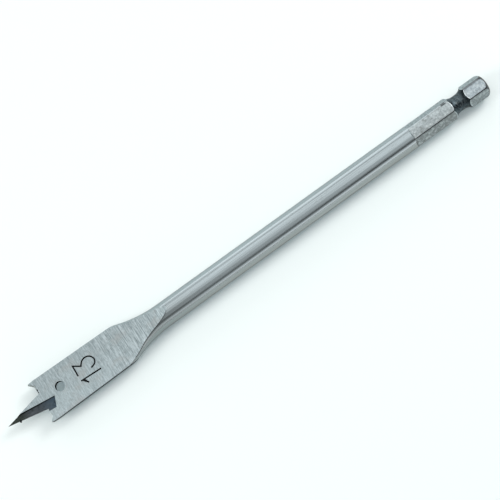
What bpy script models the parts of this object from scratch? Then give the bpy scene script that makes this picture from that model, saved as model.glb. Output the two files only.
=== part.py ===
"""Spade drill bit for 13 mm holes, with a hexagonal shank, as one solid piece of steel.

Metres, +X along the axis towards the point, +Z square to the blade's faces. The origin is
the centre of the small flat on the shank's end. The bit cuts as a right-hand drill does, and
half a turn about its axis carries its form onto itself, so each cutter that works on one face
or one edge has a twin on the other.
"""
import math

import bmesh
import bpy

MM = 0.001

# Whole bit
TOTAL_LENGTH = 166.6 * MM
SHAFT_DIAMETER = 7.2 * MM

# Shank: six flats, a neck for a quick-change holder, a rounded end
HEX_ACROSS_FLATS = 6.35 * MM
HEX_LENGTH = 26.1 * MM
HEX_RUNOUT_ANGLE = math.radians(50.0)
NECK_CENTRE = 9.6 * MM
NECK_DIAMETER = 5.0 * MM
NECK_STRAIGHT = 1.1 * MM
NECK_FILLET = 3.1 * MM
END_ROUNDING = 1.75 * MM

# Blade, from the lips to the shoulders, with a slight back taper
BLADE_LENGTH = 26.9 * MM
BLADE_WIDTH = 13.0 * MM
SHOULDER_WIDTH = 12.2 * MM
BLADE_THICKNESS = 2.2 * MM
SHOULDER_RADIUS = 8.0 * MM
SHOULDER_TURN = math.radians(14.0)

# Forged flare between the blade and the round shaft
FLARE_ANGLE = math.radians(18.0)
FLARE_RADIUS = 37.0 * MM
FORGED_THICKNESS = 5.2 * MM

# Ground ramps that carry each face of the blade up to the shaft
RAMP_FROM_SHOULDER = 2.9 * MM
RAMP_ANGLE = math.radians(10.4)
RAMP_RADIUS = 19.0 * MM
RAMP_ROLL = math.radians(14.3)

# Centre point
POINT_LENGTH = 12.1 * MM
POINT_WIDTH = 5.0 * MM
POINT_CLEARANCE = math.radians(6.0)

# Lips and spurs
LIP_CLEARANCE = math.radians(12.0)
LIP_FILLET = 0.45 * MM
SPUR_HEIGHT = 1.25 * MM
SPUR_WIDTH = 1.35 * MM
SPUR_RELIEF_DEPTH = 0.13 * MM
SPUR_RELIEF_LENGTH = 2.2 * MM

# Hollow beside each cutting edge of the point
HOLLOW_PAST_LIPS = 3.65 * MM
HOLLOW_BORDER = 0.6 * MM
HOLLOW_WIDTH = 3.1 * MM
HOLLOW_HEADING = math.radians(7.1)
HOLLOW_PITCH = math.radians(2.0)
HOLLOW_DEPTH = 0.5 * MM
HOLLOW_WALL = 0.16 * MM
HOLLOW_END_SKEW = math.radians(17.0)

# Hole in the blade
HOLE_DIAMETER = 2.9 * MM
HOLE_FROM_LIPS = 6.35 * MM
HOLE_OFFSET = 0.65 * MM

# How finely round forms are divided; the bar's facets are broad enough for it to lie still on one
BAR_SEGMENTS = 16
HOLE_SEGMENTS = 48
FLARE_STEPS = 16
RAMP_STEPS = 10
RAMP_LANES = 6
FILLET_STEPS = 8
HOLLOW_STEPS = 10

# How far every cutter reaches past the metal that it cuts
OVERCUT = 3.0 * MM
BLANK_FRONT = -OVERCUT
CUTTER_FRONT = -2 * OVERCUT

SHAFT_RADIUS = SHAFT_DIAMETER / 2
HALF_THICKNESS = BLADE_THICKNESS / 2
HALF_SHOULDER = SHOULDER_WIDTH / 2
TAPER = (BLADE_WIDTH - SHOULDER_WIDTH) / 2 / BLADE_LENGTH
SHOULDER_PLACE = POINT_LENGTH + BLADE_LENGTH
REACH = BLADE_WIDTH / 2 + OVERCUT


def along(distance_from_tip):
    """X of a place that is measured back from the tip of the point."""
    return TOTAL_LENGTH - distance_from_tip


def clear_scene():
    for old in list(bpy.data.objects):
        bpy.data.objects.remove(old, do_unlink=True)


def make_object(name, corners, faces):
    """A mesh object with closed, outward-facing faces from plain corner and face lists."""
    mesh = bpy.data.meshes.new(name)
    mesh.from_pydata(corners, [], faces)
    shape = bmesh.new()
    shape.from_mesh(mesh)
    bmesh.ops.recalc_face_normals(shape, faces=shape.faces)
    shape.to_mesh(mesh)
    shape.free()
    made = bpy.data.objects.new(name, mesh)
    bpy.context.scene.collection.objects.link(made)
    return made


def loft(rings, capped):
    """Corners and faces of a skin over rings of equal size, capped or joined into a loop."""
    count = len(rings[0])
    corners = [corner for ring in rings for corner in ring]
    pairs = list(zip(range(len(rings) - 1), range(1, len(rings))))
    if not capped:
        pairs.append((len(rings) - 1, 0))
    faces = []
    for low, high in pairs:
        for step in range(count):
            after = (step + 1) % count
            faces.append((low * count + step, low * count + after,
                          high * count + after, high * count + step))
    if capped:
        faces.append(tuple(range(count)))
        faces.append(tuple(range((len(rings) - 1) * count, len(rings) * count)))
    return corners, faces


def half_turned(corner):
    """The same place after half a turn of the bit about its axis."""
    x, y, z = corner
    return (x, -y, -z)


def arc(centre, radius, start, end, steps):
    """Points along a circular arc in a plane, both ends included."""
    points = []
    for step in range(steps + 1):
        angle = start + (end - start) * step / steps
        points.append((centre[0] + radius * math.cos(angle), centre[1] + radius * math.sin(angle)))
    return points


def crossing(first, second):
    """Where two lines meet in a plane, each given as a point and a direction."""
    (px, py), (dx, dy) = first
    (qx, qy), (ex, ey) = second
    share = ((qx - px) * ey - (qy - py) * ex) / (dx * ey - dy * ex)
    return (px + dx * share, py + dy * share)


def shank_profile():
    """Distance from the shank's end and radius along the turned shank, end first."""
    end_flat = SHAFT_RADIUS - END_ROUNDING
    profile = arc((END_ROUNDING, end_flat), END_ROUNDING, math.pi, math.pi / 2, FILLET_STEPS)
    neck = NECK_DIAMETER / 2
    sweep = math.acos((neck + NECK_FILLET - SHAFT_RADIUS) / NECK_FILLET)
    middle = neck + NECK_FILLET
    before = NECK_CENTRE - NECK_STRAIGHT / 2
    after = NECK_CENTRE + NECK_STRAIGHT / 2
    down = -math.pi / 2
    profile += arc((before, middle), NECK_FILLET, down - sweep, down, FILLET_STEPS)
    profile += arc((after, middle), NECK_FILLET, down, down + sweep, FILLET_STEPS)
    return profile


def shoulder_corner():
    """Distance from the tip and half width where the shoulder's rounding leaves the blade."""
    start = math.atan(TAPER)
    run = SHOULDER_RADIUS * (math.sin(SHOULDER_TURN) - math.sin(start))
    drop = SHOULDER_RADIUS * (math.cos(start) - math.cos(SHOULDER_TURN))
    return SHOULDER_PLACE + run, HALF_SHOULDER - drop


def flare_run(rise):
    """Distance along the axis in which the forged flare gains this much half width."""
    arc_rise = FLARE_RADIUS * (1 - math.cos(FLARE_ANGLE))
    if rise <= arc_rise:
        return math.sqrt(FLARE_RADIUS ** 2 - (FLARE_RADIUS - rise) ** 2)
    return FLARE_RADIUS * math.sin(FLARE_ANGLE) + (rise - arc_rise) / math.tan(FLARE_ANGLE)


def forged_rings():
    """Distance from the tip, half width and half height of the forged end, shaft first."""
    corner_place, corner_width = shoulder_corner()
    length = flare_run(corner_width - SHAFT_RADIUS)
    start = corner_place + length
    full_rise = REACH - SHAFT_RADIUS
    rings = []
    for step in range(FLARE_STEPS + 1):
        rise = (corner_width - SHAFT_RADIUS) * (step / FLARE_STEPS) ** 2
        run = flare_run(rise)
        ease = (run / length) ** 2 * (3 - 2 * run / length)
        height = SHAFT_RADIUS + (FORGED_THICKNESS / 2 - SHAFT_RADIUS) * ease
        rings.append((start - run, SHAFT_RADIUS + rise, height))
    rings.append((start - flare_run(full_rise), REACH, FORGED_THICKNESS / 2))
    rings.append((BLANK_FRONT, REACH, FORGED_THICKNESS / 2))
    return rings


def make_bar():
    """The turned shank and shaft with the forged, still untrimmed blade end."""
    sections = [(x, radius, radius) for x, radius in shank_profile()]
    sections += [(along(place), width, height) for place, width, height in forged_rings()]
    rings = []
    for x, width, height in sections:
        ring = []
        for step in range(BAR_SEGMENTS):
            angle = (step + 0.5) * 2 * math.pi / BAR_SEGMENTS
            ring.append((x, width * math.cos(angle), height * math.sin(angle)))
        rings.append(ring)
    return make_object("spade_bit", *loft(rings, capped=True))


def make_hex_cutter():
    """A sleeve with a six-sided bore that opens out where the flats run out."""
    flat = HEX_ACROSS_FLATS / 2
    opening = SHAFT_RADIUS + OVERCUT
    runout = (opening - flat) / math.tan(HEX_RUNOUT_ANGLE)
    outline = [(-OVERCUT, flat), (HEX_LENGTH, flat), (HEX_LENGTH + runout, opening),
               (HEX_LENGTH + runout, opening + OVERCUT), (-OVERCUT, opening + OVERCUT)]
    rings = []
    for x, apothem in outline:
        radius = apothem / math.cos(math.pi / 6)
        rings.append([(x, radius * math.cos(side * math.pi / 3), radius * math.sin(side * math.pi / 3))
                      for side in range(6)])
    return make_object("hex_cutter", *loft(rings, capped=False))


def side_outline():
    """Plan outline of one edge of the blade, from in front of the tip to past the flare."""
    half_width = BLADE_WIDTH / 2
    relief_end = POINT_LENGTH - SPUR_HEIGHT + SPUR_RELIEF_LENGTH
    slope = SPUR_RELIEF_DEPTH / SPUR_RELIEF_LENGTH
    widest = half_width - TAPER * (relief_end - POINT_LENGTH)
    outline = [(CUTTER_FRONT, widest - slope * (relief_end - CUTTER_FRONT)), (relief_end, widest)]
    start = math.pi / 2 - math.atan(TAPER)
    end = math.pi / 2 - SHOULDER_TURN
    centre = (SHOULDER_PLACE - SHOULDER_RADIUS * math.cos(start),
              HALF_SHOULDER - SHOULDER_RADIUS * math.sin(start))
    outline += arc(centre, SHOULDER_RADIUS, start, end, FILLET_STEPS)
    outline.append((outline[-1][0] + OVERCUT, outline[-1][1] - OVERCUT * math.tan(SHOULDER_TURN)))
    outline.append((outline[-1][0], REACH + OVERCUT))
    outline.append((CUTTER_FRONT, REACH + OVERCUT))
    return outline


def make_side_cutter():
    """Two blocks that trim the forged end to the blade's edges and shoulders."""
    depth = SHAFT_RADIUS + OVERCUT
    rings = [[(along(place), y, z) for place, y in side_outline()] for z in (-depth, depth)]
    corners, faces = loft(rings, capped=True)
    count = len(corners)
    corners += [half_turned(corner) for corner in corners]
    faces += [tuple(index + count for index in face) for face in faces]
    return make_object("side_cutter", corners, faces)


def ramp_stations():
    """Distance from the tip, height and roll along one ground face, blade first."""
    foot = SHOULDER_PLACE + RAMP_FROM_SHOULDER
    half_run = RAMP_RADIUS * math.tan(RAMP_ANGLE / 2)
    top = SHAFT_RADIUS + OVERCUT
    stations = [(CUTTER_FRONT, HALF_THICKNESS)]
    for step in range(RAMP_STEPS + 1):
        angle = RAMP_ANGLE * step / RAMP_STEPS
        stations.append((foot - half_run + RAMP_RADIUS * math.sin(angle),
                         HALF_THICKNESS + RAMP_RADIUS * (1 - math.cos(angle))))
    curve_end, curve_height = stations[-1]
    for step in range(1, RAMP_STEPS + 1):
        height = curve_height + (top - curve_height) * step / RAMP_STEPS
        stations.append((curve_end + (height - curve_height) / math.tan(RAMP_ANGLE), height))
    rise = SHAFT_RADIUS - HALF_THICKNESS
    return [(place, height, RAMP_ROLL * min(1.0, (height - HALF_THICKNESS) / rise))
            for place, height in stations]


def make_face_cutter():
    """Two blocks whose inner sides are the ground faces and ramps of the blade."""
    half_span = REACH + OVERCUT
    roof = SHAFT_RADIUS + 4 * OVERCUT
    rings = []
    for place, height, roll in ramp_stations():
        ring = []
        for lane in range(RAMP_LANES + 1):
            across = half_span * (2 * lane / RAMP_LANES - 1)
            ring.append((along(place), across * math.cos(roll) - height * math.sin(roll),
                         across * math.sin(roll) + height * math.cos(roll)))
        ring.append((along(place), ring[-1][1], roof))
        ring.append((along(place), ring[0][1], roof))
        rings.append(ring)
    corners, faces = loft(rings, capped=True)
    count = len(corners)
    corners += [half_turned(corner) for corner in corners]
    faces += [tuple(index + count for index in face) for face in faces]
    return make_object("face_cutter", corners, faces)


def front_outline(z):
    """Plan outline, at one height, of what is cut away in front of a leading lip and spur."""
    point_slope = POINT_WIDTH / 2 / POINT_LENGTH
    point_side = ((0.0, z * math.tan(POINT_CLEARANCE)), (1.0, point_slope))
    setback = (HALF_THICKNESS - z) * math.tan(LIP_CLEARANCE)
    lip_place = POINT_LENGTH + setback
    lip = ((lip_place, 0.0), (0.0, 1.0))
    spur_foot = BLADE_WIDTH / 2 - SPUR_RELIEF_DEPTH - SPUR_WIDTH
    spur_side = ((lip_place, spur_foot), (-SPUR_HEIGHT, SPUR_WIDTH))
    front = ((CUTTER_FRONT, 0.0), (0.0, 1.0))
    outer = ((0.0, REACH), (1.0, 0.0))
    turn = math.atan2(SPUR_HEIGHT, SPUR_WIDTH)
    centre = (lip_place - LIP_FILLET, spur_foot - LIP_FILLET * math.tan(turn / 2))
    outline = [crossing(point_side, front), crossing(point_side, lip)]
    outline += arc(centre, LIP_FILLET, 0.0, turn, FILLET_STEPS)
    outline += [crossing(spur_side, outer), crossing(front, outer)]
    return outline


def make_front_cutter(name, place_corner):
    """What is cut away beside the point, in front of one lip and its spur."""
    depth = FORGED_THICKNESS / 2 + OVERCUT
    rings = [[place_corner((along(place), y, z)) for place, y in front_outline(z)]
             for z in (-depth, depth)]
    return make_object(name, *loft(rings, capped=True))


def hollow_section():
    """Offset across the hollow and depth below the face, from its steep wall outwards."""
    floor_width = HOLLOW_WIDTH - HOLLOW_WALL
    radius = (floor_width ** 2 + HOLLOW_DEPTH ** 2) / (2 * HOLLOW_DEPTH)
    section = [(0.0, 0.0), (HOLLOW_WALL, HOLLOW_DEPTH)]
    for step in range(1, HOLLOW_STEPS + 1):
        offset = floor_width * step / HOLLOW_STEPS
        sag = radius - math.sqrt(radius ** 2 - offset ** 2)
        section.append((HOLLOW_WALL + offset, HOLLOW_DEPTH - sag))
    return section


def make_hollow_cutter(name, place_corner):
    """A long shallow channel with one steep wall, deeper towards the tip of the point."""
    section = hollow_section()
    steepest = HOLLOW_DEPTH / HOLLOW_WALL
    section.insert(0, (-OVERCUT / steepest, -OVERCUT))
    section.append((HOLLOW_WIDTH + OVERCUT, -OVERCUT))
    end_place = POINT_LENGTH + HOLLOW_PAST_LIPS
    run = end_place - CUTTER_FRONT
    heading = (math.cos(HOLLOW_HEADING), math.sin(HOLLOW_HEADING))
    rings = []
    for back in (0.0, run):
        ring = []
        for offset, depth in section:
            slant = offset * math.tan(HOLLOW_END_SKEW) if back == 0.0 else 0.0
            travel = back + slant
            place = end_place - travel * heading[0] - offset * heading[1]
            across = HOLLOW_BORDER - travel * heading[1] + offset * heading[0]
            drop = depth + travel * math.tan(HOLLOW_PITCH)
            ring.append(place_corner((along(place), across, HALF_THICKNESS - drop)))
        rings.append(ring)
    return make_object(name, *loft(rings, capped=True))


def make_hole_cutter():
    """A round pin through the blade."""
    depth = HALF_THICKNESS + OVERCUT
    centre_x = along(POINT_LENGTH + HOLE_FROM_LIPS)
    rings = []
    for z in (-depth, depth):
        rings.append([(centre_x + x, y - HOLE_OFFSET, z) for x, y in
                      arc((0.0, 0.0), HOLE_DIAMETER / 2, 0.0, 2 * math.pi, HOLE_SEGMENTS)[:-1]])
    return make_object("hole_cutter", *loft(rings, capped=True))


def cut(body, cutter):
    """Take the cutter's volume out of the body, and keep the cutter as a hidden guide."""
    step = body.modifiers.new(cutter.name, "BOOLEAN")
    step.operation = "DIFFERENCE"
    step.solver = "EXACT"
    step.object = cutter
    cutter.display_type = "WIRE"
    cutter.hide_render = True
    cutter.parent = body


def make_steel():
    steel = bpy.data.materials.new("ground_steel")
    steel.use_nodes = True
    shader = steel.node_tree.nodes["Principled BSDF"]
    shader.inputs["Base Color"].default_value = (0.46, 0.48, 0.49, 1.0)
    shader.inputs["Metallic"].default_value = 1.0
    shader.inputs["Roughness"].default_value = 0.38
    return steel


def build():
    clear_scene()
    bit = make_bar()
    cut(bit, make_hex_cutter())
    cut(bit, make_side_cutter())
    cut(bit, make_face_cutter())
    cut(bit, make_front_cutter("front_cutter", lambda corner: corner))
    cut(bit, make_front_cutter("front_cutter_turned", half_turned))
    cut(bit, make_hollow_cutter("hollow_cutter", lambda corner: corner))
    cut(bit, make_hollow_cutter("hollow_cutter_turned", half_turned))
    cut(bit, make_hole_cutter())
    bit.data.materials.append(make_steel())
    bit.data.shade_smooth()
    bit.data.set_sharp_from_angle(angle=math.radians(25.0))


build()
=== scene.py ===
"""Looks for the 13 mm spade drill bit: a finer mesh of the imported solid, its steels, and a light tent.

Metres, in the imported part's frame: +X along the bit towards its point, +Z up, square to the
blade's faces. Places along the bit are written as distances back from the tip of the point.
"""
import math

import bmesh
import bpy
from mathutils import Matrix, Vector


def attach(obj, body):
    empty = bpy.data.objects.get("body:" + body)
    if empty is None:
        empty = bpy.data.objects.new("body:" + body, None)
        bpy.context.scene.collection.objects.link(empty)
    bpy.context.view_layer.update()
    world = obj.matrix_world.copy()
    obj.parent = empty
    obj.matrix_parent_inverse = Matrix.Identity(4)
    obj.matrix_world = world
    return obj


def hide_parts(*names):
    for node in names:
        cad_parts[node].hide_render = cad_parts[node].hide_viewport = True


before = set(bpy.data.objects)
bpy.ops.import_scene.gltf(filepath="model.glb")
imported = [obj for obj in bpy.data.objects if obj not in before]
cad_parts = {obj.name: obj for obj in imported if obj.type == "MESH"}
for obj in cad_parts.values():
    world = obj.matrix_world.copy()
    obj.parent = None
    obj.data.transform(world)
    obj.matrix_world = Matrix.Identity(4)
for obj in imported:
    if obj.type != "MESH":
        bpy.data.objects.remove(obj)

MM = 0.001

# The solid's own sizes, as the part's source gives them
TOTAL_LENGTH = 166.6 * MM
SHAFT_RADIUS = 3.6 * MM
HEX_ACROSS_FLATS = 6.35 * MM
HEX_LENGTH = 26.1 * MM
HEX_RUNOUT_ANGLE = math.radians(50.0)
NECK_CENTRE = 9.6 * MM
NECK_RADIUS = 2.5 * MM
NECK_STRAIGHT = 1.1 * MM
NECK_FILLET = 3.1 * MM
END_ROUNDING = 1.75 * MM
BLADE_LENGTH = 26.9 * MM
HALF_BLADE = 6.5 * MM
HALF_SHOULDER = 6.1 * MM
HALF_THICKNESS = 1.1 * MM
SHOULDER_RADIUS = 8.0 * MM
SHOULDER_TURN = math.radians(14.0)
FLARE_ANGLE = math.radians(18.0)
FLARE_RADIUS = 37.0 * MM
HALF_FORGED = 2.6 * MM
RAMP_FROM_SHOULDER = 2.9 * MM
RAMP_ANGLE = math.radians(10.4)
RAMP_RADIUS = 19.0 * MM
RAMP_ROLL = math.radians(14.3)
POINT_LENGTH = 12.1 * MM
HALF_POINT = 2.5 * MM
POINT_CLEARANCE = math.radians(6.0)
LIP_CLEARANCE = math.radians(12.0)
LIP_FILLET = 0.45 * MM
SPUR_HEIGHT = 1.25 * MM
SPUR_WIDTH = 1.35 * MM
SPUR_RELIEF_DEPTH = 0.13 * MM
SPUR_RELIEF_LENGTH = 2.2 * MM
HOLLOW_PAST_LIPS = 3.65 * MM
HOLLOW_BORDER = 0.6 * MM
HOLLOW_WIDTH = 3.1 * MM
HOLLOW_HEADING = math.radians(7.1)
HOLLOW_PITCH = math.radians(2.0)
HOLLOW_DEPTH = 0.5 * MM
HOLLOW_WALL = 0.16 * MM
HOLLOW_END_SKEW = math.radians(17.0)
HOLE_RADIUS = 1.45 * MM
HOLE_FROM_LIPS = 6.35 * MM
HOLE_OFFSET = 0.65 * MM

# How finely this mesh is divided
BAR_SEGMENTS = 240
HOLE_SEGMENTS = 96
FLARE_STEPS = 48
RAMP_STEPS = 32
RAMP_LANES = 12
FILLET_STEPS = 24
HOLLOW_STEPS = 24

# What lies within this far of the neck's middle, and this far inside the round, is neck
NECK_REACH = 5 * MM
NECK_SKIN = 0.02 * MM

# Faces that meet at a sharper angle than this keep a sharp edge
SHARP_ANGLE = math.radians(24.0)

# Strokes of the stamped figure as (distance from the tip, offset across the blade), in mm
FIGURE_STROKES = {
    "figure_three": [(24.2, -0.1), (24.32, -1.45), (24.45, -3.15), (26.4, -1.78), (27.2, -2.7),
                     (27.75, -3.02), (28.4, -3.2), (29.0, -3.16), (29.55, -2.98), (30.0, -2.66),
                     (30.35, -2.25), (30.58, -1.75), (30.62, -1.3), (30.45, -0.72), (30.2, -0.35),
                     (29.75, -0.05), (29.3, 0.12), (28.8, 0.22)],
    "figure_one": [(24.3, 1.7), (30.5, 2.02)],
    "figure_flag": [(24.72, 1.9), (25.66, 3.12)],
    "figure_wedge": [(24.95, 1.88), (25.42, 2.42)],
}
STROKE_WIDTH = 0.44 * MM
STROKE_DEPTH = 0.24 * MM
# Section of a stroke's cutter: offset across and height, as shares of its width and depth
STROKE_SECTION = [(-0.5, 0), (-0.18, -1), (0.18, -1), (0.5, 0), (0.5, 1), (-0.5, 1)]
SHARPEST_MITER = 0.35

# Dents in the edge of one lip: distance from the tip, offset across, length across and width
LIP_DENTS = [(12.4 * MM, -3.5 * MM, 0.85 * MM, 0.75 * MM), (12.5 * MM, -2.75 * MM, 0.45 * MM, 0.4 * MM)]
DENT_DEPTH = 1.3 * MM
DENT_RISE = 0.2 * MM
DENT_FLOOR_SHARE = 0.8
DENT_SIDES = 12
# A burr that stands out from the edge of the point: where it starts and where it ends
BURR_ROOT = (4.0 * MM, 0.5 * MM)
BURR_TIP = (3.75 * MM, 1.42 * MM)
BURR_HEIGHT = 0.62 * MM
BURR_RADIUS = 0.46 * MM
BURR_STEPS = 6
# Beads of burred metal along the edges: their radii, sides, how deep they sink as a share of the
# radius, and how thin they start and how fast they thicken, as shares of the radius
RAMP_BURR_RADIUS = 0.1 * MM
NECK_RIM_RADIUS = 0.12 * MM
BEAD_SIDES = 8
BEAD_SINK = 0.7
BEAD_START = 0.3
BEAD_GROWTH = 0.2
BEAD_SPACING = 0.05 * MM
# Where a dark scuff on the hexagon starts and ends, from the shank's end, and how it fades
SCUFF_START = 13.4 * MM
SCUFF_END = 14.6 * MM
SCUFF_FADE = 0.2 * MM
# From the shank's end, the tone of the hexagon's end part holds to the first of these and is gone
# by the second
END_PART_WITHIN = 6.0 * MM
MAIN_PART_FROM = 8.0 * MM

OVERCUT = 3.0 * MM
BLANK_FRONT = -OVERCUT
CUTTER_FRONT = -2 * OVERCUT
TAPER = (HALF_BLADE - HALF_SHOULDER) / BLADE_LENGTH
SHOULDER_PLACE = POINT_LENGTH + BLADE_LENGTH
REACH = HALF_BLADE + OVERCUT


# Forms


def along(distance_from_tip):
    """X of a place that is measured back from the tip of the point."""
    return TOTAL_LENGTH - distance_from_tip


def make_object(name, corners, faces, material=None):
    """A mesh object with closed, outward-facing faces from plain corner and face lists."""
    mesh = bpy.data.meshes.new(name)
    mesh.from_pydata(corners, [], faces)
    shape = bmesh.new()
    shape.from_mesh(mesh)
    bmesh.ops.recalc_face_normals(shape, faces=shape.faces)
    shape.to_mesh(mesh)
    shape.free()
    if material:
        mesh.materials.append(material)
    made = bpy.data.objects.new(name, mesh)
    bpy.context.scene.collection.objects.link(made)
    return made


def loft(rings, capped):
    """Corners and faces of a skin over rings of equal size, capped or joined into a loop."""
    count = len(rings[0])
    corners = [corner for ring in rings for corner in ring]
    pairs = list(zip(range(len(rings) - 1), range(1, len(rings))))
    if not capped:
        pairs.append((len(rings) - 1, 0))
    faces = []
    for low, high in pairs:
        for step in range(count):
            after = (step + 1) % count
            faces.append((low * count + step, low * count + after,
                          high * count + after, high * count + step))
    if capped:
        faces.append(tuple(range(count)))
        faces.append(tuple(range((len(rings) - 1) * count, len(rings) * count)))
    return corners, faces


def with_twin(corners, faces):
    """The same skin with a second copy of it, half a turn about the bit's axis away."""
    count = len(corners)
    corners = corners + [half_turned(corner) for corner in corners]
    faces = faces + [tuple(index + count for index in face) for face in faces]
    return corners, faces


def half_turned(corner):
    x, y, z = corner
    return (x, -y, -z)


def arc(centre, radius, start, end, steps):
    """Points along a circular arc in a plane, both ends included."""
    points = []
    for step in range(steps + 1):
        angle = start + (end - start) * step / steps
        points.append((centre[0] + radius * math.cos(angle), centre[1] + radius * math.sin(angle)))
    return points


def crossing(first, second):
    """Where two lines meet in a plane, each given as a point and a direction."""
    (px, py), (dx, dy) = first
    (qx, qy), (ex, ey) = second
    share = ((qx - px) * ey - (qy - py) * ex) / (dx * ey - dy * ex)
    return (px + dx * share, py + dy * share)


def shank_profile():
    """Distance from the shank's end and radius along the turned shank, end first."""
    end_flat = SHAFT_RADIUS - END_ROUNDING
    profile = arc((END_ROUNDING, end_flat), END_ROUNDING, math.pi, math.pi / 2, FILLET_STEPS)
    sweep = math.acos((NECK_RADIUS + NECK_FILLET - SHAFT_RADIUS) / NECK_FILLET)
    middle = NECK_RADIUS + NECK_FILLET
    down = -math.pi / 2
    profile += arc((NECK_CENTRE - NECK_STRAIGHT / 2, middle), NECK_FILLET, down - sweep, down, FILLET_STEPS)
    profile += arc((NECK_CENTRE + NECK_STRAIGHT / 2, middle), NECK_FILLET, down, down + sweep, FILLET_STEPS)
    return profile


def shoulder_corner():
    """Distance from the tip and half width where the shoulder's rounding leaves the blade."""
    start = math.atan(TAPER)
    run = SHOULDER_RADIUS * (math.sin(SHOULDER_TURN) - math.sin(start))
    drop = SHOULDER_RADIUS * (math.cos(start) - math.cos(SHOULDER_TURN))
    return SHOULDER_PLACE + run, HALF_SHOULDER - drop


def flare_run(rise):
    """Distance along the axis in which the forged flare gains this much half width."""
    arc_rise = FLARE_RADIUS * (1 - math.cos(FLARE_ANGLE))
    if rise <= arc_rise:
        return math.sqrt(FLARE_RADIUS ** 2 - (FLARE_RADIUS - rise) ** 2)
    return FLARE_RADIUS * math.sin(FLARE_ANGLE) + (rise - arc_rise) / math.tan(FLARE_ANGLE)


def forged_rings():
    """Distance from the tip, half width and half height of the forged end, shaft first."""
    corner_place, corner_width = shoulder_corner()
    length = flare_run(corner_width - SHAFT_RADIUS)
    start = corner_place + length
    rings = []
    for step in range(FLARE_STEPS + 1):
        rise = (corner_width - SHAFT_RADIUS) * (step / FLARE_STEPS) ** 2
        run = flare_run(rise)
        ease = (run / length) ** 2 * (3 - 2 * run / length)
        rings.append((start - run, SHAFT_RADIUS + rise,
                      SHAFT_RADIUS + (HALF_FORGED - SHAFT_RADIUS) * ease))
    rings.append((start - flare_run(REACH - SHAFT_RADIUS), REACH, HALF_FORGED))
    rings.append((BLANK_FRONT, REACH, HALF_FORGED))
    return rings


def make_bar(shaft_steel, neck_steel):
    """The turned shank and shaft with the forged, still untrimmed blade end."""
    sections = [(x, radius, radius) for x, radius in shank_profile()]
    sections += [(along(place), width, height) for place, width, height in forged_rings()]
    rings = []
    for x, width, height in sections:
        ring = []
        for step in range(BAR_SEGMENTS):
            angle = (step + 0.5) * 2 * math.pi / BAR_SEGMENTS
            ring.append((x, width * math.cos(angle), height * math.sin(angle)))
        rings.append(ring)
    bar = make_object("bar", *loft(rings, capped=True), shaft_steel)
    bar.data.materials.append(neck_steel)
    for face in bar.data.polygons:
        x, y, z = face.center
        if abs(x - NECK_CENTRE) < NECK_REACH and math.hypot(y, z) < SHAFT_RADIUS - NECK_SKIN:
            face.material_index = 1
    return bar


def make_hex_cutter(material):
    """A sleeve with a six-sided bore that opens out where the flats run out."""
    flat = HEX_ACROSS_FLATS / 2
    opening = SHAFT_RADIUS + OVERCUT
    runout = (opening - flat) / math.tan(HEX_RUNOUT_ANGLE)
    outline = [(-OVERCUT, flat), (HEX_LENGTH, flat), (HEX_LENGTH + runout, opening),
               (HEX_LENGTH + runout, opening + OVERCUT), (-OVERCUT, opening + OVERCUT)]
    rings = []
    for x, apothem in outline:
        radius = apothem / math.cos(math.pi / 6)
        rings.append([(x, radius * math.cos(side * math.pi / 3), radius * math.sin(side * math.pi / 3))
                      for side in range(6)])
    return make_object("hex_cutter", *loft(rings, capped=False), material)


def side_outline():
    """Plan outline of one edge of the blade, from in front of the tip to past the flare."""
    relief_end = POINT_LENGTH - SPUR_HEIGHT + SPUR_RELIEF_LENGTH
    slope = SPUR_RELIEF_DEPTH / SPUR_RELIEF_LENGTH
    widest = HALF_BLADE - TAPER * (relief_end - POINT_LENGTH)
    outline = [(CUTTER_FRONT, widest - slope * (relief_end - CUTTER_FRONT)), (relief_end, widest)]
    start = math.pi / 2 - math.atan(TAPER)
    end = math.pi / 2 - SHOULDER_TURN
    centre = (SHOULDER_PLACE - SHOULDER_RADIUS * math.cos(start),
              HALF_SHOULDER - SHOULDER_RADIUS * math.sin(start))
    outline += arc(centre, SHOULDER_RADIUS, start, end, FILLET_STEPS)
    outline.append((outline[-1][0] + OVERCUT, outline[-1][1] - OVERCUT * math.tan(SHOULDER_TURN)))
    outline.append((outline[-1][0], REACH + OVERCUT))
    outline.append((CUTTER_FRONT, REACH + OVERCUT))
    return outline


def make_side_cutter(material):
    """Two blocks that trim the forged end to the blade's edges and shoulders."""
    depth = SHAFT_RADIUS + OVERCUT
    rings = [[(along(place), y, z) for place, y in side_outline()] for z in (-depth, depth)]
    return make_object("side_cutter", *with_twin(*loft(rings, capped=True)), material)


def ramp_stations():
    """Distance from the tip, height and roll along one ground face, blade first."""
    foot = SHOULDER_PLACE + RAMP_FROM_SHOULDER
    half_run = RAMP_RADIUS * math.tan(RAMP_ANGLE / 2)
    top = SHAFT_RADIUS + OVERCUT
    stations = [(CUTTER_FRONT, HALF_THICKNESS)]
    for step in range(RAMP_STEPS + 1):
        angle = RAMP_ANGLE * step / RAMP_STEPS
        stations.append((foot - half_run + RAMP_RADIUS * math.sin(angle),
                         HALF_THICKNESS + RAMP_RADIUS * (1 - math.cos(angle))))
    curve_end, curve_height = stations[-1]
    for step in range(1, RAMP_STEPS + 1):
        height = curve_height + (top - curve_height) * step / RAMP_STEPS
        stations.append((curve_end + (height - curve_height) / math.tan(RAMP_ANGLE), height))
    rise = SHAFT_RADIUS - HALF_THICKNESS
    return [(place, height, RAMP_ROLL * min(1.0, (height - HALF_THICKNESS) / rise))
            for place, height in stations]


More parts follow.
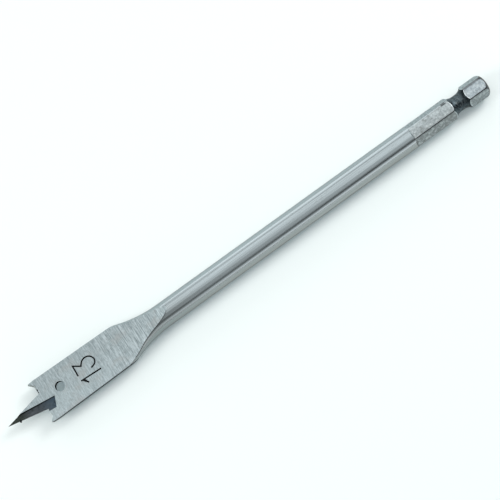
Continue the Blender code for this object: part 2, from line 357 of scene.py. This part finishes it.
def make_face_cutter(material):
    """Two blocks whose inner sides are the ground faces and ramps of the blade."""
    half_span = REACH + OVERCUT
    roof = SHAFT_RADIUS + 4 * OVERCUT
    rings = []
    for place, height, roll in ramp_stations():
        ring = []
        for lane in range(RAMP_LANES + 1):
            across = half_span * (2 * lane / RAMP_LANES - 1)
            ring.append((along(place), across * math.cos(roll) - height * math.sin(roll),
                         across * math.sin(roll) + height * math.cos(roll)))
        ring.append((along(place), ring[-1][1], roof))
        ring.append((along(place), ring[0][1], roof))
        rings.append(ring)
    return make_object("face_cutter", *with_twin(*loft(rings, capped=True)), material)


def front_outline(z):
    """Plan outline, at one height, of what is cut away in front of a leading lip and spur."""
    point_side = ((0.0, z * math.tan(POINT_CLEARANCE)), (1.0, HALF_POINT / POINT_LENGTH))
    lip_place = POINT_LENGTH + (HALF_THICKNESS - z) * math.tan(LIP_CLEARANCE)
    lip = ((lip_place, 0.0), (0.0, 1.0))
    spur_foot = HALF_BLADE - SPUR_RELIEF_DEPTH - SPUR_WIDTH
    spur_side = ((lip_place, spur_foot), (-SPUR_HEIGHT, SPUR_WIDTH))
    front = ((CUTTER_FRONT, 0.0), (0.0, 1.0))
    outer = ((0.0, REACH), (1.0, 0.0))
    turn = math.atan2(SPUR_HEIGHT, SPUR_WIDTH)
    centre = (lip_place - LIP_FILLET, spur_foot - LIP_FILLET * math.tan(turn / 2))
    outline = [crossing(point_side, front), crossing(point_side, lip)]
    outline += arc(centre, LIP_FILLET, 0.0, turn, FILLET_STEPS // 3)
    outline += [crossing(spur_side, outer), crossing(front, outer)]
    return outline


def front_skin():
    """What is cut away beside the point, in front of one lip and its spur."""
    depth = HALF_FORGED + OVERCUT
    rings = [[(along(place), y, z) for place, y in front_outline(z)] for z in (-depth, depth)]
    return loft(rings, capped=True)


def hollow_section():
    """Offset across the hollow and depth below the face, from its steep wall outwards."""
    floor_width = HOLLOW_WIDTH - HOLLOW_WALL
    radius = (floor_width ** 2 + HOLLOW_DEPTH ** 2) / (2 * HOLLOW_DEPTH)
    section = [(0.0, 0.0), (HOLLOW_WALL, HOLLOW_DEPTH)]
    for step in range(1, HOLLOW_STEPS + 1):
        offset = floor_width * step / HOLLOW_STEPS
        sag = radius - math.sqrt(radius ** 2 - offset ** 2)
        section.append((HOLLOW_WALL + offset, HOLLOW_DEPTH - sag))
    return section


def hollow_skin():
    """A long shallow channel with one steep wall, deeper towards the tip of the point."""
    section = hollow_section()
    section.insert(0, (-OVERCUT * HOLLOW_WALL / HOLLOW_DEPTH, -OVERCUT))
    section.append((HOLLOW_WIDTH + OVERCUT, -OVERCUT))
    end_place = POINT_LENGTH + HOLLOW_PAST_LIPS
    heading = (math.cos(HOLLOW_HEADING), math.sin(HOLLOW_HEADING))
    rings = []
    for back in (0.0, end_place - CUTTER_FRONT):
        ring = []
        for offset, depth in section:
            travel = back + (offset * math.tan(HOLLOW_END_SKEW) if back == 0.0 else 0.0)
            place = end_place - travel * heading[0] - offset * heading[1]
            across = HOLLOW_BORDER - travel * heading[1] + offset * heading[0]
            drop = depth + travel * math.tan(HOLLOW_PITCH)
            ring.append((along(place), across, HALF_THICKNESS - drop))
        rings.append(ring)
    return loft(rings, capped=True)


def hole_skin():
    """A round pin through the blade."""
    depth = HALF_THICKNESS + OVERCUT
    centre_x = along(POINT_LENGTH + HOLE_FROM_LIPS)
    circle = arc((0.0, 0.0), HOLE_RADIUS, 0.0, 2 * math.pi, HOLE_SEGMENTS)[:-1]
    rings = [[(centre_x + x, y - HOLE_OFFSET, z) for x, y in circle] for z in (-depth, depth)]
    return loft(rings, capped=True)


def dent_skin(place, across, length, width):
    """An oval chip in the edge of the upper face, with its longer axis across the blade."""
    circle = arc((0.0, 0.0), 1.0, 0.0, 2 * math.pi, DENT_SIDES)[:-1]
    oval = [(width / 2 * x, length / 2 * y) for x, y in circle]
    levels = ((DENT_FLOOR_SHARE, HALF_THICKNESS - DENT_DEPTH), (1.0, HALF_THICKNESS + DENT_RISE))
    rings = [[(along(place) + x * size, across + y * size, z) for x, y in oval] for size, z in levels]
    return loft(rings, capped=True)


def stroke_skin(points):
    """A groove cutter with a V section that follows a bent line over the upper face."""
    line = [Vector((along(place * MM), across * MM, 0.0)) for place, across in points]
    rings = []
    for index, place in enumerate(line):
        before = (place - line[index - 1]).normalized() if index else None
        after = (line[index + 1] - place).normalized() if index < len(line) - 1 else None
        heading = ((before or after) + (after or before)).normalized()
        miter = 1 / max(SHARPEST_MITER, heading.dot(after or before))
        side = Vector((-heading.y, heading.x, 0.0)) * miter
        start = place
        if before is None or after is None:
            start = place + (heading if after is None else -heading) * STROKE_WIDTH / 2
        ring = []
        for across, height in STROKE_SECTION:
            corner = start + side * across * STROKE_WIDTH
            ring.append((corner.x, corner.y, HALF_THICKNESS + height * STROKE_DEPTH))
        rings.append(ring)
    return loft(rings, capped=True)


def cut(body, cutter):
    """Take the cutter's volume, and with it the cutter's steel, out of the body."""
    step = body.modifiers.new(cutter.name, "BOOLEAN")
    step.operation = "DIFFERENCE"
    step.solver = "EXACT"
    step.material_mode = "TRANSFER"
    step.object = cutter


def baked(body, cutters, name):
    """The body's finished mesh as a new plain object, with its helpers removed."""
    graph = bpy.context.evaluated_depsgraph_get()
    mesh = bpy.data.meshes.new_from_object(body.evaluated_get(graph), depsgraph=graph)
    mesh.name = name
    for helper in [body] + cutters:
        bpy.data.objects.remove(helper, do_unlink=True)
    made = bpy.data.objects.new(name, mesh)
    bpy.context.scene.collection.objects.link(made)
    mesh.shade_smooth()
    mesh.set_sharp_from_angle(angle=SHARP_ANGLE)
    return made


def chains(mesh, first, second, one_side=False):
    """Runs of places where two named steels meet, everywhere or only on one side of each face."""
    names = [material.name for material in mesh.materials]
    wanted = {names.index(first), names.index(second)}
    owners = {}
    for face in mesh.polygons:
        for edge in face.edge_keys:
            owners.setdefault(edge, set()).add(face.material_index)
    links = {}
    for (one, other), found in owners.items():
        place = mesh.vertices[one].co
        if found == wanted and (not one_side or place.y * place.z > 0):
            links.setdefault(one, []).append(other)
            links.setdefault(other, []).append(one)
    runs = []
    while links:
        start = min(links, key=lambda corner: (len(links[corner]), corner))
        run = [start]
        while links.get(run[-1]):
            after = links[run[-1]].pop()
            links[after].remove(run[-1])
            run.append(after)
        for corner in [corner for corner in links if not links[corner]]:
            del links[corner]
        places = [mesh.vertices[run[0]].co.copy()]
        for corner in run[1:]:
            if (mesh.vertices[corner].co - places[-1]).length > BEAD_SPACING:
                places.append(mesh.vertices[corner].co.copy())
        if len(places) > 2:
            runs.append(places)
    return runs


def make_bead(name, runs, radius, material):
    """A thin round bead along each run, half sunk in the steel and thinner at its ends."""
    corners, faces = [], []
    for places in runs:
        rings = []
        for index, place in enumerate(places):
            heading = places[min(index + 1, len(places) - 1)] - places[max(index - 1, 0)]
            side = heading.cross(Vector((0.0, 0.0, 1.0))).normalized()
            rise = side.cross(heading).normalized()
            thin = radius * min(1.0, BEAD_START + BEAD_GROWTH * min(index, len(places) - 1 - index))
            middle = place - Vector((0.0, place.y, place.z)).normalized() * thin * BEAD_SINK
            turns = [step * 2 * math.pi / BEAD_SIDES for step in range(BEAD_SIDES)]
            rings.append([tuple(middle + side * thin * math.cos(turn) + rise * thin * math.sin(turn))
                          for turn in turns])
        more_corners, more_faces = loft(rings, capped=True)
        faces += [tuple(index + len(corners) for index in face) for face in more_faces]
        corners += more_corners
    bead = make_object(name, corners, faces, material)
    bead.data.shade_smooth()
    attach(bead, "root")


# Steels


# Sockets of a Mix node for colours: its two inputs and its result
MIX_FIRST = 6
MIX_SECOND = 7
MIX_RESULT = 2


def calculated(tree, operation, *values):
    """Result of a sum on values, each a plain number or another node's output."""
    node = tree.nodes.new("ShaderNodeMath")
    node.operation = operation
    for entry, value in zip(node.inputs, values):
        if isinstance(value, (int, float)):
            entry.default_value = value
        else:
            tree.links.new(value, entry)
    return node.outputs["Value"]


def mapped(tree, value, low, high, to_low=0.0, to_high=1.0, curve="SMOOTHSTEP"):
    """Map a range of one value onto another range, clamped."""
    node = tree.nodes.new("ShaderNodeMapRange")
    node.interpolation_type = curve
    tree.links.new(value, node.inputs["Value"])
    for name, number in (("From Min", low), ("From Max", high), ("To Min", to_low), ("To Max", to_high)):
        node.inputs[name].default_value = number
    return node.outputs["Result"]


def mixed(tree, share, first, second):
    """Blend two colours by a share; each is plain numbers or another node's output."""
    node = tree.nodes.new("ShaderNodeMix")
    node.data_type = "RGBA"
    tree.links.new(share, node.inputs["Factor"])
    for entry, colour in ((node.inputs[MIX_FIRST], first), (node.inputs[MIX_SECOND], second)):
        if isinstance(colour, tuple):
            entry.default_value = (*colour, 1.0)
        else:
            tree.links.new(colour, entry)
    return node.outputs[MIX_RESULT]


class Steel:
    """A procedural metal: small helpers that add and join nodes."""

    def __init__(self, name, colour, roughness):
        self.material = bpy.data.materials.new(name)
        self.material.use_nodes = True
        self.tree = self.material.node_tree
        self.shader = self.tree.nodes["Principled BSDF"]
        self.shader.inputs["Metallic"].default_value = 1.0
        self.shader.inputs["Base Color"].default_value = (*colour, 1.0)
        self.shader.inputs["Roughness"].default_value = roughness
        self.place = self.tree.nodes.new("ShaderNodeTexCoord").outputs["Object"]

    def add(self, kind):
        return self.tree.nodes.new(kind)

    def join(self, output, entry):
        self.tree.links.new(output, entry)

    def noise(self, scale, detail=3.0, roughness=0.6, shift=(0.0, 0.0, 0.0), lean=0.0):
        """Noise with so many cycles per metre along each axis, turned a little about Z."""
        turned = self.add("ShaderNodeMapping")
        turned.inputs["Rotation"].default_value = (0.0, 0.0, lean)
        self.join(self.place, turned.inputs["Vector"])
        scaled = self.add("ShaderNodeMapping")
        scaled.inputs["Scale"].default_value = scale
        scaled.inputs["Location"].default_value = shift
        self.join(turned.outputs["Vector"], scaled.inputs["Vector"])
        node = self.add("ShaderNodeTexNoise")
        node.inputs["Scale"].default_value = 1.0
        node.inputs["Detail"].default_value = detail
        node.inputs["Roughness"].default_value = roughness
        self.join(scaled.outputs["Vector"], node.inputs["Vector"])
        return node.outputs["Fac"]

    def span(self, value, low, high, to_low=0.0, to_high=1.0):
        """Rise or fall smoothly from one level to another between two marks."""
        return mapped(self.tree, value, low, high, to_low, to_high)

    def line(self, value, low, high):
        """Rise from 0 to 1 in a straight line between two marks."""
        return mapped(self.tree, value, low, high, curve="LINEAR")

    def math(self, operation, first, second):
        return calculated(self.tree, operation, first, second)

    def mix(self, share, first, second):
        return mixed(self.tree, share, first, second)

    def axis(self, name):
        node = self.add("ShaderNodeSeparateXYZ")
        self.join(self.place, node.inputs["Vector"])
        return node.outputs[name]

    def leading(self):
        """Y on the upper half of the bit and -Y on the lower half, which is the same bit half turned."""
        return self.math("MULTIPLY", self.axis("Y"), self.math("SIGN", self.axis("Z"), 0.0))

    def colour(self, output):
        self.join(output, self.shader.inputs["Base Color"])

    def rough(self, output):
        self.join(output, self.shader.inputs["Roughness"])

    def tint(self, colour):
        """Colour at grazing angles."""
        self.shader.inputs["Specular Tint"].default_value = (*colour, 1.0)

    def relief(self, height, distance, strength=1.0):
        node = self.add("ShaderNodeBump")
        node.inputs["Strength"].default_value = strength
        node.inputs["Distance"].default_value = distance
        self.join(height, node.inputs["Height"])
        self.join(node.outputs["Normal"], self.shader.inputs["Normal"])


def face_steel():
    """Ground faces and ramps: fine lines across the bit, coarser up the ramps, and a faint cloudiness."""
    steel = Steel("ground_face", (0.36, 0.42, 0.44), 0.34)
    run = steel.axis("X")
    ramp = steel.span(run, along(31.0 * MM), along(38.0 * MM), 0.5, 0.95)
    lines = steel.noise((3000.0, 190.0, 190.0), detail=2.0, roughness=0.5, lean=math.radians(3.0))
    marks = steel.noise((3600.0, 1000.0, 1000.0), detail=2.0, roughness=0.6, shift=(0.3, 0.1, 0.0))
    cloud = steel.noise((160.0, 260.0, 260.0), detail=3.0, shift=(0.05, 0.0, 0.0))
    # Painted light: the faces are lighter from their -Y edge to their +Y edge
    across = steel.span(steel.axis("Y"), -HALF_BLADE, HALF_BLADE)
    tone = steel.mix(across, (0.325, 0.392, 0.408), (0.405, 0.485, 0.505))
    light = steel.math("MULTIPLY", steel.line(lines, 0.5, 0.68), ramp)
    shade = steel.math("MULTIPLY", steel.line(lines, 0.5, 0.32), ramp)
    tone = steel.mix(steel.math("MULTIPLY", light, 0.5), tone, (0.68, 0.77, 0.8))
    tone = steel.mix(steel.math("MULTIPLY", shade, 0.5), tone, (0.1, 0.13, 0.14))
    tone = steel.mix(steel.span(marks, 0.5, 0.7, 0.0, 0.5), tone, (0.2, 0.23, 0.24))
    tone = steel.mix(steel.span(marks, 0.5, 0.3, 0.0, 0.3), tone, (0.6, 0.69, 0.72))
    tone = steel.mix(steel.span(cloud, 0.5, 0.72, 0.0, 0.5), tone, (0.36, 0.38, 0.375))
    steel.colour(tone)
    steel.rough(steel.span(lines, 0.3, 0.7, 0.3, 0.4))
    steel.relief(steel.math("MULTIPLY", lines, ramp), 0.02 * MM, 0.5)
    return steel.material


def shaft_steel():
    """Drawn and ground round bar: fine streaks along the axis, painted shade and light on its flanks and by
    the blade.
    """
    steel = Steel("drawn_shaft", (0.36, 0.42, 0.44), 0.21)
    steel.tint((0.62, 0.6, 0.58))
    streaks = steel.noise((14.0, 2100.0, 2100.0), detail=3.0, roughness=0.7)
    specks = steel.noise((500.0, 1500.0, 1500.0), detail=3.0)
    run = steel.axis("X")
    side = steel.leading()
    # Painted shade on the flank towards +Y and painted light on the flank towards -Y, the other way round on
    # the lower half
    tone = steel.mix(steel.span(side, 2.2 * MM, 3.1 * MM), (0.372, 0.432, 0.452), (0.338, 0.36, 0.357))
    tone = steel.mix(steel.span(side, -2.3 * MM, -3.0 * MM), tone, (0.392, 0.452, 0.476))
    # Painted shade from the middle to the +Y flank, for some way back from the blade
    near = steel.math("MULTIPLY", steel.span(run, along(75.0 * MM), along(45.0 * MM), 0.0, 0.8),
                      steel.span(side, -1.6 * MM, -0.2 * MM, 0.15, 1.0))
    tone = steel.mix(near, tone, (0.255, 0.29, 0.295))
    tone = steel.mix(steel.span(streaks, 0.52, 0.72, 0.0, 0.5), tone, (0.25, 0.29, 0.29))
    tone = steel.mix(steel.span(streaks, 0.48, 0.28, 0.0, 0.4), tone, (0.52, 0.6, 0.62))
    tone = steel.mix(steel.span(specks, 0.55, 0.75, 0.0, 0.35), tone, (0.26, 0.3, 0.3))
    # Painted shade along the hexagon's corners on the +Y side, and dark stains on all its corners near the
    # end and at the scuff
    lower = steel.math("MAXIMUM", steel.span(side, -0.5 * MM, 0.5 * MM),
                       steel.span(run, MAIN_PART_FROM, END_PART_WITHIN))
    corner = steel.math("MULTIPLY", steel.span(run, HEX_LENGTH, HEX_LENGTH - 0.5 * MM, 0.0, 0.8),
                        steel.math("MAXIMUM", lower, scuff(steel)))
    tone = steel.mix(corner, tone, (0.11, 0.12, 0.125))
    tone = steel.mix(steel.span(run, 2.2 * MM, 1.4 * MM, 0.0, 0.85), tone, (0.1, 0.105, 0.11))
    steel.colour(tone)
    steel.rough(steel.span(streaks, 0.3, 0.7, 0.15, 0.22))
    steel.relief(streaks, 0.008 * MM, 0.4)
    return steel.material


def scuff(steel):
    """Share of a short dark scuff on a corner of the hexagon, just ahead of the neck."""
    run = steel.axis("X")
    return steel.math("MULTIPLY", steel.span(run, SCUFF_START - SCUFF_FADE, SCUFF_START),
                      steel.span(run, SCUFF_END + SCUFF_FADE, SCUFF_END))


def hex_steel():
    """Rolled flats: a soft mottle, painted shade and light by their corners, and a few stains by the neck
    and the end.
    """
    steel = Steel("rolled_flats", (0.36, 0.42, 0.44), 0.34)
    steel.tint((0.65, 0.63, 0.62))
    mottle = steel.noise((1200.0, 1400.0, 1400.0), detail=4.0, roughness=0.65)
    streaks = steel.noise((120.0, 1600.0, 1600.0), detail=2.0)
    stain = steel.noise((700.0, 700.0, 700.0), detail=2.0, shift=(0.4, 0.2, 0.0))
    run = steel.axis("X")
    side = steel.leading()
    corner = HEX_ACROSS_FLATS / 2 * math.tan(math.pi / 6)
    end_part = steel.span(run, MAIN_PART_FROM, END_PART_WITHIN)
    tone = steel.mix(end_part, (0.345, 0.396, 0.41), (0.305, 0.36, 0.392))
    # Painted shade: the top facet darkens towards its +Y corner, more on the main part
    slope = steel.math("MULTIPLY", steel.span(side, -0.9 * MM, corner),
                       steel.span(run, END_PART_WITHIN, MAIN_PART_FROM, 0.05, 0.65))
    tone = steel.mix(slope, tone, (0.2, 0.225, 0.23))
    # Painted shade on the facet beyond the +Y corner
    lower = steel.mix(end_part, (0.225, 0.244, 0.25), (0.245, 0.275, 0.285))
    tone = steel.mix(steel.span(side, corner - 0.05 * MM, corner + 0.2 * MM), tone, lower)
    # Painted light on the facet beyond the -Y corner
    tone = steel.mix(steel.span(side, -corner - 0.05 * MM, -corner - 0.3 * MM), tone, (0.375, 0.445, 0.475))
    tone = steel.mix(steel.span(mottle, 0.48, 0.68, 0.0, 0.7), tone, (0.17, 0.185, 0.18))
    tone = steel.mix(steel.span(mottle, 0.52, 0.32, 0.0, 0.5), tone, (0.6, 0.67, 0.67))
    tone = steel.mix(steel.span(streaks, 0.55, 0.75, 0.0, 0.4), tone, (0.22, 0.24, 0.24))
    # Painted shade along the +Y corner
    edge = steel.math("MULTIPLY", steel.span(side, corner - 0.35 * MM, corner - 0.1 * MM),
                      steel.span(side, corner + 0.3 * MM, corner + 0.1 * MM))
    tone = steel.mix(steel.math("MULTIPLY", edge, 0.6), tone, (0.1, 0.11, 0.115))
    back = steel.math("MULTIPLY", steel.span(side, -corner + 0.65 * MM, -corner + 0.3 * MM),
                      steel.span(side, -corner - 0.5 * MM, -corner - 0.1 * MM))
    patch = steel.math("MAXIMUM", steel.span(stain, 0.48, 0.6, 0.0, 0.9),
                       steel.math("MULTIPLY", end_part, 0.68))
    ends = steel.math("MULTIPLY", steel.math("MULTIPLY", back, patch), steel.span(run, 17.0 * MM, 13.0 * MM))
    tone = steel.mix(ends, tone, (0.055, 0.06, 0.068))
    tone = steel.mix(steel.math("MULTIPLY", back, scuff(steel)), tone, (0.055, 0.065, 0.07))
    steel.colour(tone)
    steel.rough(steel.span(mottle, 0.3, 0.7, 0.28, 0.42))
    steel.relief(mottle, 0.03 * MM, 0.5)
    return steel.material


def neck_steel():
    """Dark scale left in the neck, blackest towards the shank's end."""
    steel = Steel("neck_scale", (0.05, 0.065, 0.075), 0.42)
    mottle = steel.noise((800.0, 600.0, 600.0), detail=4.0, roughness=0.65, lean=math.radians(-20.0))
    flecks = steel.noise((2200.0, 1100.0, 1100.0), detail=2.0, shift=(0.2, 0.6, 0.0))
    tone = steel.mix(steel.span(mottle, 0.36, 0.64), (0.016, 0.024, 0.029), (0.095, 0.125, 0.14))
    tone = steel.mix(steel.span(flecks, 0.52, 0.7, 0.0, 0.6), tone, (0.17, 0.2, 0.205))
    tone = steel.mix(steel.span(steel.axis("X"), NECK_CENTRE, NECK_CENTRE - 2.6 * MM, 0.0, 0.7), tone,
                     (0.01, 0.014, 0.016))
    steel.colour(tone)
    steel.rough(steel.span(mottle, 0.3, 0.7, 0.35, 0.55))
    steel.relief(mottle, 0.05 * MM, 0.5)
    return steel.material


def hollow_steel():
    """Dark ground hollows of the point: bluish by the lip, green and black towards the tip."""
    steel = Steel("hollow_ground", (0.07, 0.09, 0.1), 0.36)
    run = steel.axis("X")
    lines = steel.noise((260.0, 2600.0, 2600.0), detail=3.0, roughness=0.7)
    stain = steel.noise((900.0, 900.0, 900.0), detail=3.0)
    tone = steel.mix(steel.span(run, along(15.5 * MM), along(9.0 * MM)),
                     (0.052, 0.078, 0.102), (0.06, 0.07, 0.078))
    tone = steel.mix(steel.span(run, along(8.0 * MM), along(4.0 * MM)), tone, (0.036, 0.044, 0.038))
    tone = steel.mix(steel.span(lines, 0.5, 0.75, 0.0, 0.5), tone, (0.15, 0.165, 0.17))
    tone = steel.mix(steel.span(stain, 0.5, 0.7, 0.0, 0.6), tone, (0.02, 0.026, 0.026))
    steel.colour(tone)
    steel.relief(lines, 0.02 * MM, 0.4)
    return steel.material


def edge_steel(name, dark, light, roughness, grazing=0.5):
    """Narrow ground edges and clearances, streaked."""
    steel = Steel(name, light, roughness)
    steel.tint((grazing,) * 3)
    lines = steel.noise((900.0, 900.0, 2400.0), detail=3.0)
    steel.colour(steel.mix(steel.span(lines, 0.3, 0.7), dark, light))
    steel.relief(lines, 0.02 * MM, 0.4)
    return steel.material


def bore_steel():
    """The hole's wall: painted shade, near black, on the side towards -Y, and painted light on the other."""
    steel = Steel("hole_wall", (0.02, 0.025, 0.025), 0.5)
    steel.tint((0.05, 0.05, 0.05))
    side = steel.span(steel.axis("Y"), -HOLE_OFFSET - 0.4 * MM, -HOLE_OFFSET + 0.5 * MM)
    steel.colour(steel.mix(side, (0.008, 0.012, 0.012), (0.75, 0.78, 0.78)))
    return steel.material


# Scene

# Strips of a light tent that run along the bit, by angle about its axis from +Y over the top to -Y.
# Each has the angles where it starts and ends, and its level near the blade and near the shank.
# Between two strips the level changes evenly.
TENT_STRIPS = {
    "near_skirt": (0, 0, 0.5, 0.6),
    "near_light": (10, 20, 1.1, 1.25),
    "near_gap": (36, 46, 0.25, 0.12),
    "near_roof": (56, 74, 0.55, 0.75),
    "roof": (90, 110, 0.95, 1.3),
    "far_high_light": (122, 130, 1.45, 1.35),
    "far_gap": (138, 138, 0.65, 0.6),
    "far_low_light": (152, 164, 1.9, 1.6),
    "far_skirt": (180, 180, 1.0, 0.8),
}
# The tent's ends, in front of the point and behind the shank, are dim and fade away from +Y
END_NEAR = 0.4
END_FAR = 0.3
BLADE_SIDE = -0.006
SHANK_SIDE = -0.146
MIDDLE_HALF_WIDTH = 0.38
ENDS_START = 0.58
# The tent's ends are pale near the floor, below one height, and dim above another
HORIZON = (0.62, 0.68, 0.69)
PALE_BELOW = 0.12
DIM_ABOVE = 0.3
# The brightest level that a strip may have, which is the world's strength
TENT_STRENGTH = 2.0

# Soft panels: direction from the bit, width and power, and what they share
PANELS = {
    "panel_point_end": (Vector((0.84, -0.14, 0.52)), 0.26, 2.0),
    "panel_shank_end": (Vector((-0.74, -0.2, 0.64)), 0.28, 2.3),
}
PANEL_LENGTH = 0.3
PANEL_DISTANCE = 0.75

FLOOR_REACH = 4
FLOOR_COLOUR = (0.838, 0.888, 0.869)
FLOOR_GLOW = (0.022, 0.046, 0.06)

# The camera, fitted to the outline of the bit in the photograph
SENSOR_WIDTH = 36.0
FOCAL_LENGTH = 115.49
CAMERA_PLACE = (0.10668, 0.08259, 0.44622)
CAMERA_RIGHT = Vector((-0.81025, 0.58249, -0.06469))
CAMERA_BACK = Vector((0.05333, 0.18319, 0.98163))


def strip_stops(side):
    """Angles and levels of the tent's strips near the blade (0) or near the shank (1)."""
    stops = []
    for start, end, *levels in TENT_STRIPS.values():
        stops.append((start, levels[side]))
        if end > start:
            stops.append((end, levels[side]))
    return stops


def level_ramp(tree, share, levels):
    """A colour ramp of grey levels over half a turn."""
    node = tree.nodes.new("ShaderNodeValToRGB")
    stops = node.color_ramp.elements
    stops.remove(stops[-1])
    for index, (angle, level) in enumerate(levels):
        stop = stops[0] if index == 0 else stops.new(angle / 180)
        stop.position = angle / 180
        stop.color = (level / TENT_STRENGTH,) * 3 + (1.0,)
    tree.links.new(share, node.inputs["Fac"])
    return node.outputs["Color"]


def blend(tree, value, low, high, first, second):
    """First colour where the value is at its low mark, the second where it is at its high mark."""
    return mixed(tree, mapped(tree, value, low, high), first, second)


def make_tent():
    """World light: strips that run along the bit, as in a light tent, between two dim ends."""
    world = bpy.data.worlds.new("light_tent")
    world.use_nodes = True
    tree = world.node_tree
    back = tree.nodes["Background"]
    back.inputs["Strength"].default_value = TENT_STRENGTH
    place = tree.nodes.new("ShaderNodeTexCoord")
    parts = tree.nodes.new("ShaderNodeSeparateXYZ")
    tree.links.new(place.outputs["Generated"], parts.inputs["Vector"])
    turn = calculated(tree, "ARCTAN2", parts.outputs["Z"], parts.outputs["Y"])
    share = calculated(tree, "DIVIDE", turn, math.pi)
    size = calculated(tree, "ABSOLUTE", parts.outputs["X"])
    blade = level_ramp(tree, share, strip_stops(0))
    shank = level_ramp(tree, share, strip_stops(1))
    dim = level_ramp(tree, share, [(0, END_NEAR), (180, END_FAR)])
    pale = tuple(level / TENT_STRENGTH for level in HORIZON)
    middle = blend(tree, parts.outputs["X"], SHANK_SIDE, BLADE_SIDE, shank, blade)
    ends = blend(tree, parts.outputs["Z"], PALE_BELOW, DIM_ABOVE, pale, dim)
    whole = blend(tree, size, MIDDLE_HALF_WIDTH, ENDS_START, middle, ends)
    tree.links.new(whole, back.inputs["Color"])
    bpy.context.scene.world = world


def make_lamps():
    """Two soft panels over either end of the bit, which give it most of its shadow."""
    middle = Vector((TOTAL_LENGTH / 2, 0.0, 0.0))
    for name, (direction, width, power) in PANELS.items():
        lamp = bpy.data.lights.new(name, "AREA")
        lamp.shape = "RECTANGLE"
        lamp.size = PANEL_LENGTH
        lamp.size_y = width
        lamp.energy = power
        panel = bpy.data.objects.new(name, lamp)
        outward = direction.normalized()
        across = Vector((0.0, 1.0, 0.0)).cross(outward).normalized()
        turned = Matrix((outward.cross(across), -across, outward)).transposed().to_4x4()
        panel.matrix_world = Matrix.Translation(middle + outward * PANEL_DISTANCE) @ turned
        bpy.context.scene.collection.objects.link(panel)


def make_floor():
    """A pale sheet under the bit that keeps its shadow, with a faint glow for camera and gloss rays."""
    corners = [(x * FLOOR_REACH, y * FLOOR_REACH, 0) for x, y in ((-1, -1), (1, -1), (1, 1), (-1, 1))]
    sheet = make_object("floor", corners, [(0, 1, 2, 3)])
    sheet.location.z = -SHAFT_RADIUS
    paper = bpy.data.materials.new("pale_sheet")
    paper.use_nodes = True
    tree = paper.node_tree
    shader = tree.nodes["Principled BSDF"]
    shader.inputs["Base Color"].default_value = (*FLOOR_COLOUR, 1.0)
    shader.inputs["Roughness"].default_value = 0.9
    shader.inputs["Specular IOR Level"].default_value = 0.0
    shader.inputs["Emission Color"].default_value = (*FLOOR_GLOW, 1.0)
    path = tree.nodes.new("ShaderNodeLightPath")
    seen = calculated(tree, "MAXIMUM", path.outputs["Is Camera Ray"], path.outputs["Is Glossy Ray"])
    tree.links.new(seen, shader.inputs["Emission Strength"])
    sheet.data.materials.append(paper)


def make_camera():
    """The photograph's view, fitted to the bit's outline."""
    lens = bpy.data.cameras.new("camera")
    lens.sensor_width = SENSOR_WIDTH
    lens.lens = FOCAL_LENGTH
    lens.clip_start = 0.01
    camera = bpy.data.objects.new("camera", lens)
    up = CAMERA_BACK.cross(CAMERA_RIGHT).normalized()
    right = up.cross(CAMERA_BACK)
    turned = Matrix((right, up, CAMERA_BACK)).transposed().to_4x4()
    camera.matrix_world = Matrix.Translation(CAMERA_PLACE) @ turned
    bpy.context.scene.collection.objects.link(camera)
    bpy.context.scene.camera = camera


def make_bit():
    """The finer mesh of the solid, cut by the same steps, each with its own steel."""
    # The blade's side edges are near black: painted shade
    side = edge_steel("side_edges_painted_shade", (0.07, 0.08, 0.08), (0.13, 0.145, 0.145), 0.4)
    clearance = edge_steel("clearances", (0.3, 0.31, 0.3), (0.6, 0.64, 0.63), 0.42)
    soot = edge_steel("stamped_grooves", (0.008, 0.01, 0.01), (0.03, 0.035, 0.035), 0.6, grazing=0.1)
    bar = make_bar(shaft_steel(), neck_steel())
    cutters = [make_hex_cutter(hex_steel()), make_side_cutter(side), make_face_cutter(face_steel())]
    skins = (("front_cutter", front_skin(), clearance), ("hollow_cutter", hollow_skin(), hollow_steel()))
    for name, (corners, faces), metal in skins:
        turned = [half_turned(place) for place in corners]
        cutters.append(make_object(name, corners, faces, metal))
        cutters.append(make_object(name + "_turned", turned, faces, metal))
    cutters.append(make_object("hole_cutter", *hole_skin(), bore_steel()))
    for name, points in FIGURE_STROKES.items():
        cutters.append(make_object(name, *stroke_skin(points), soot))
    for number, dent in enumerate(LIP_DENTS):
        cutters.append(make_object("lip_dent_%d" % number, *dent_skin(*dent), soot))
    for cutter in cutters:
        cut(bar, cutter)
    bit = baked(bar, cutters, "spade_bit_fine")
    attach(bit, "root")
    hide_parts("spade_bit")
    # The ramps' burrs are painted near black: painted shade along those edges
    burr = edge_steel("burr_edge_painted_shade", (0.03, 0.035, 0.035), (0.07, 0.08, 0.08), 0.4)
    # The rims by the neck are worn edges, painted lighter than the flats as a highlight
    rim = edge_steel("worn_rim_painted_highlight", (0.42, 0.48, 0.5), (0.66, 0.73, 0.75), 0.36)
    make_bead("ramp_burrs", chains(bit.data, "ground_face", "drawn_shaft", one_side=True), RAMP_BURR_RADIUS,
              burr)
    make_bead("neck_rims", chains(bit.data, "rolled_flats", "neck_scale"), NECK_RIM_RADIUS, rim)
    ends = [Vector((along(place), across, BURR_HEIGHT)) for place, across in (BURR_ROOT, BURR_TIP)]
    places = [ends[0].lerp(ends[1], step / BURR_STEPS) for step in range(BURR_STEPS + 1)]
    make_bead("point_burr", [places], BURR_RADIUS, soot)


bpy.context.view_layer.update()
bpy.context.scene.view_settings.view_transform = "Standard"
make_camera()
make_tent()
make_lamps()
make_floor()
make_bit()
